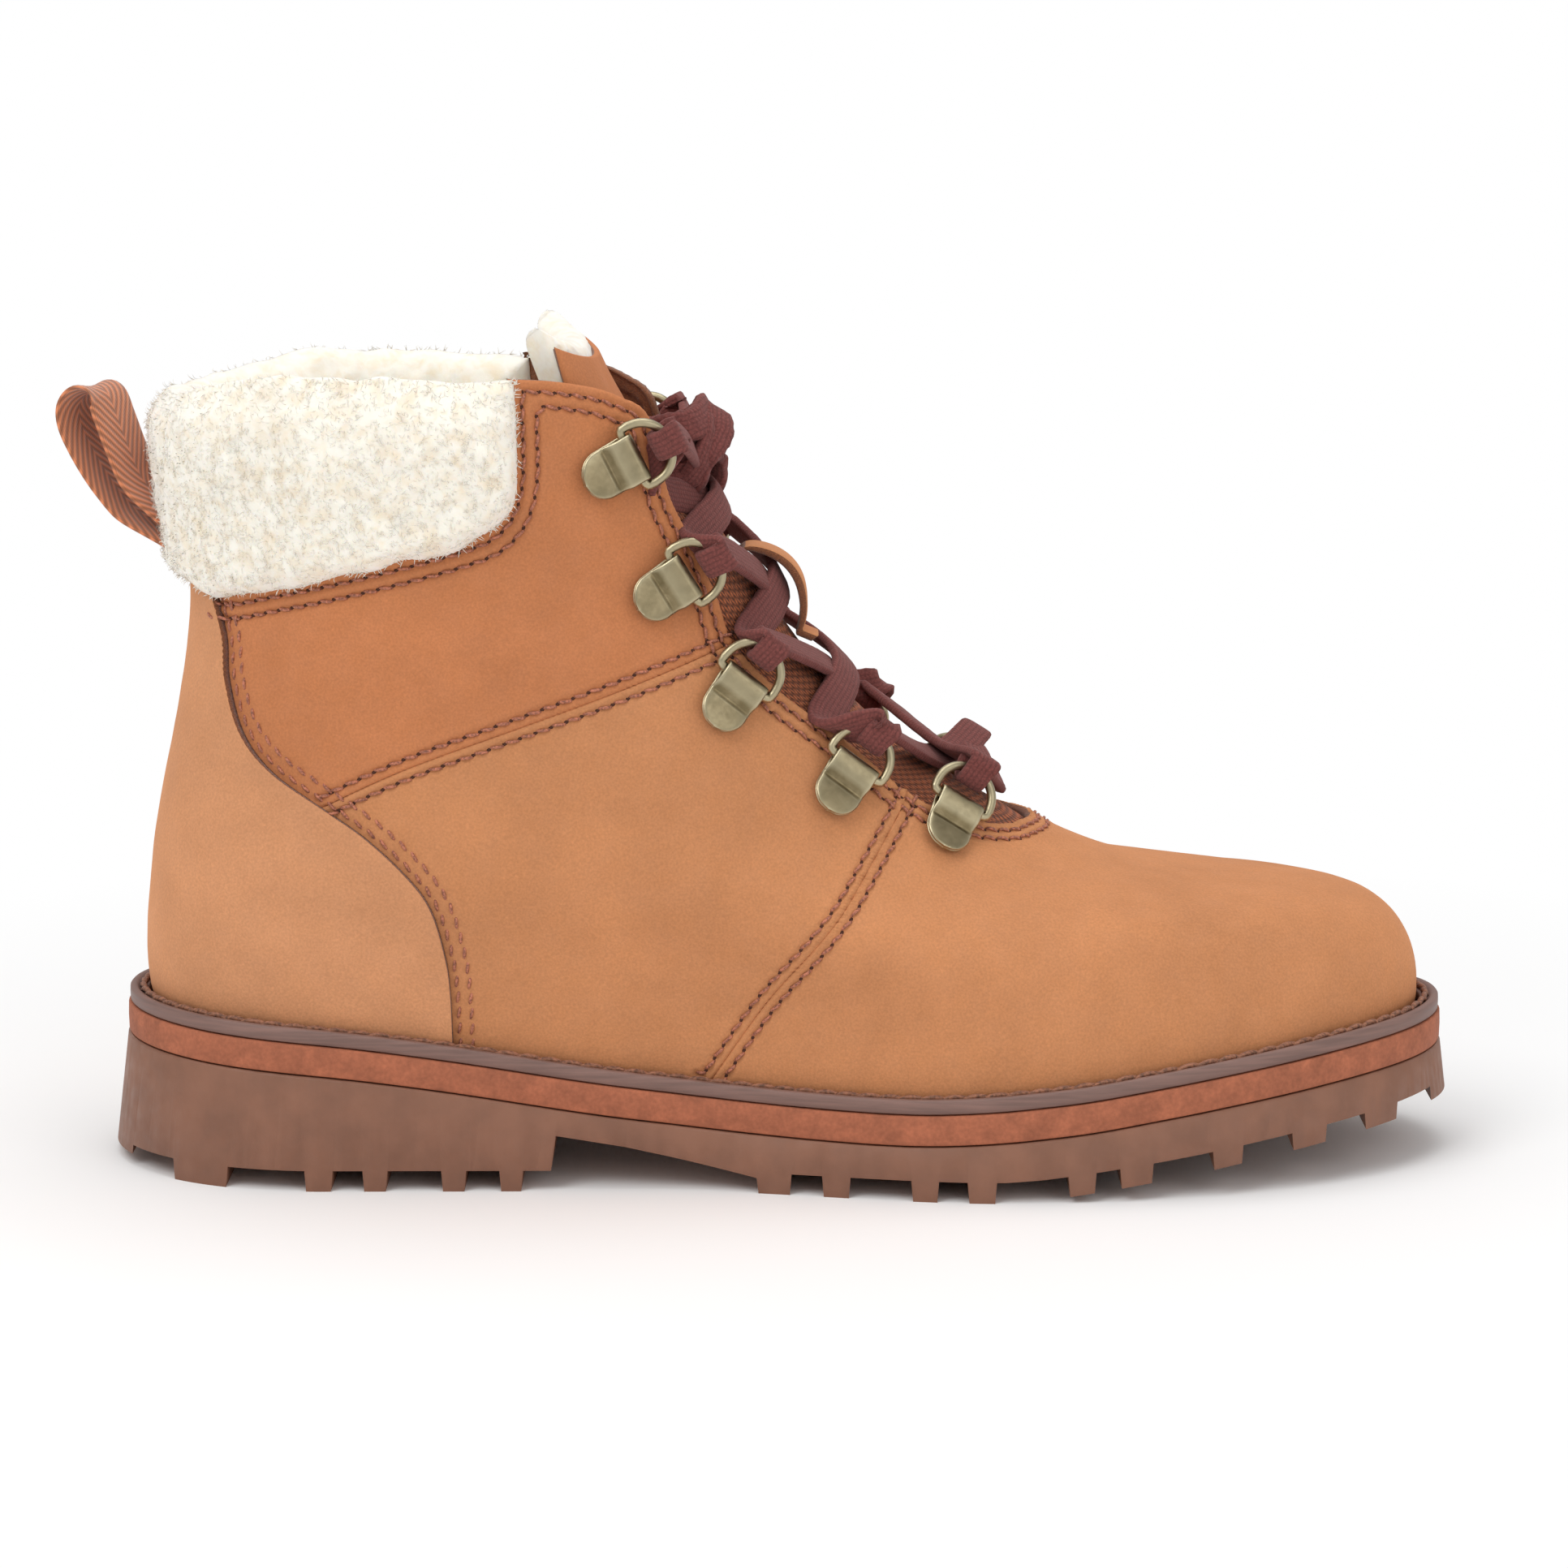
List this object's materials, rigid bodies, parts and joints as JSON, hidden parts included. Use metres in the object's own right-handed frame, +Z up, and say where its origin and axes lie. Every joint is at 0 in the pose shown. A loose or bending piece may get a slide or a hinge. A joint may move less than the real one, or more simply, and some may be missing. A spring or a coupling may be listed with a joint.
{
  "type": "insulated lace-up boot",
  "caption": "Fleece-lined nubuck winter boot for the right foot, laced through hinged D-rings, on a lugged rubber sole.",
  "frame": {"origin": "on the ground, on the flat face of the lug in the middle of the heel", "axes": "+X runs along the foot to the toe, +Z points up the leg, -Y is the outer side of the foot"},
  "size_m": [0.2917, 0.1036, 0.1723],
  "materials": {
    "nubuck_light": "matt brushed nap",
    "nubuck_dark": "matt brushed nap",
    "fleece": "clumped wool pile",
    "outsole_rubber": "satin",
    "midsole_rubber": "matt, fine grain",
    "welt_strip": "satin",
    "tongue_textile": "open knit",
    "webbing": "herringbone weave",
    "lace_cotton": "flat ribbed weave",
    "antique_brass": "antique, softly polished",
    "foam": "matt",
    "board": "matt fibreboard",
    "steel": "bare"
  },
  "bodies": {
    "boot": {"outsole": "outsole_rubber", "midsole": "midsole_rubber", "shank": "steel", "welt": "welt_strip", "insole_board": "board", "footbed": "foam", "footbed_fleece": "fleece", "heel_counter": "nubuck_light", "vamp": "nubuck_light", "quarter_outer": "nubuck_light", "ankle_outer": "nubuck_dark", "quarter_inner": "nubuck_light", "ankle_inner": "nubuck_dark", "heel_stiffener": "board", "toe_stiffener": "board", "foam_layer": "foam", "fleece_lining": "fleece", "fleece_collar": "fleece", "tongue": "tongue_textile", "tongue_lining": "fleece", "gusset_outer": "tongue_textile", "gusset_inner": "tongue_textile", "lace_keeper": "nubuck_light", "clip_outer_1": "antique_brass", "clip_outer_2": "antique_brass", "clip_outer_3": "antique_brass", "clip_outer_4": "antique_brass", "clip_outer_5": "antique_brass", "clip_inner_1": "antique_brass", "clip_inner_2": "antique_brass", "clip_inner_3": "antique_brass", "clip_inner_4": "antique_brass", "clip_inner_5": "antique_brass", "lace": "lace_cotton"},
    "ring_outer_1": {"ring_outer_1": "antique_brass"},
    "ring_outer_2": {"ring_outer_2": "antique_brass"},
    "ring_outer_3": {"ring_outer_3": "antique_brass"},
    "ring_outer_4": {"ring_outer_4": "antique_brass"},
    "ring_outer_5": {"ring_outer_5": "antique_brass"},
    "ring_inner_1": {"ring_inner_1": "antique_brass"},
    "ring_inner_2": {"ring_inner_2": "antique_brass"},
    "ring_inner_3": {"ring_inner_3": "antique_brass"},
    "ring_inner_4": {"ring_inner_4": "antique_brass"},
    "ring_inner_5": {"ring_inner_5": "antique_brass"},
    "loop": {"pull_loop": "webbing"},
    "tongue_top": {"tongue_patch": "nubuck_dark", "tongue_fleece_top": "fleece"}
  },
  "joints": [
    {"name": "ring_outer_1_hinge", "type": "hinge", "parent": "boot", "child": "ring_outer_1", "pos_m": [0.06747, -0.02922, 0.14921], "axis": [0.4373, 0.0927, -0.8945], "range_deg": [-6, 12]},
    {"name": "ring_outer_2_hinge", "type": "hinge", "parent": "boot", "child": "ring_outer_2", "pos_m": [0.07748, -0.02831, 0.12479], "axis": [0.5147, 0.0953, -0.8521], "range_deg": [-6, 12]},
    {"name": "ring_outer_3_hinge", "type": "hinge", "parent": "boot", "child": "ring_outer_3", "pos_m": [0.08986, -0.02831, 0.10366], "axis": [0.7714, 0.1193, -0.6251], "range_deg": [-6, 12]},
    {"name": "ring_outer_4_hinge", "type": "hinge", "parent": "boot", "child": "ring_outer_4", "pos_m": [0.11249, -0.02579, 0.08571], "axis": [0.7969, 0.0443, -0.6025], "range_deg": [-6, 12]},
    {"name": "ring_outer_5_hinge", "type": "hinge", "parent": "boot", "child": "ring_outer_5", "pos_m": [0.13422, -0.01894, 0.07676], "axis": [0.8328, 0.1283, -0.5386], "range_deg": [-6, 12]},
    {"name": "ring_inner_1_hinge", "type": "hinge", "parent": "boot", "child": "ring_inner_1", "pos_m": [0.06744, 0.0293, 0.14921], "axis": [-0.4411, 0.0875, 0.8932], "range_deg": [-6, 12]},
    {"name": "ring_inner_2_hinge", "type": "hinge", "parent": "boot", "child": "ring_inner_2", "pos_m": [0.07741, 0.02867, 0.12479], "axis": [-0.523, 0.0826, 0.8483], "range_deg": [-6, 12]},
    {"name": "ring_inner_3_hinge", "type": "hinge", "parent": "boot", "child": "ring_inner_3", "pos_m": [0.08973, 0.02922, 0.10367], "axis": [-0.7872, 0.0885, 0.6103], "range_deg": [-6, 12]},
    {"name": "ring_inner_4_hinge", "type": "hinge", "parent": "boot", "child": "ring_inner_4", "pos_m": [0.11232, 0.02829, 0.08572], "axis": [-0.8165, 0.0059, 0.5772], "range_deg": [-6, 12]},
    {"name": "ring_inner_5_hinge", "type": "hinge", "parent": "boot", "child": "ring_inner_5", "pos_m": [0.13407, 0.02342, 0.07678], "axis": [-0.8576, 0.0999, 0.5045], "range_deg": [-6, 12]},
    {"name": "pull_loop_fold", "type": "hinge", "parent": "boot", "child": "loop", "pos_m": [-0.0359, 0, 0.1346], "axis": [0.435, 0.9004, 0], "range_deg": [-70, 6]},
    {"name": "tongue_top_fold", "type": "hinge", "parent": "boot", "child": "tongue_top", "pos_m": [0.06395, 0, 0.15673], "axis": [0, 1, 0], "range_deg": [-4, 50]}
  ]
}
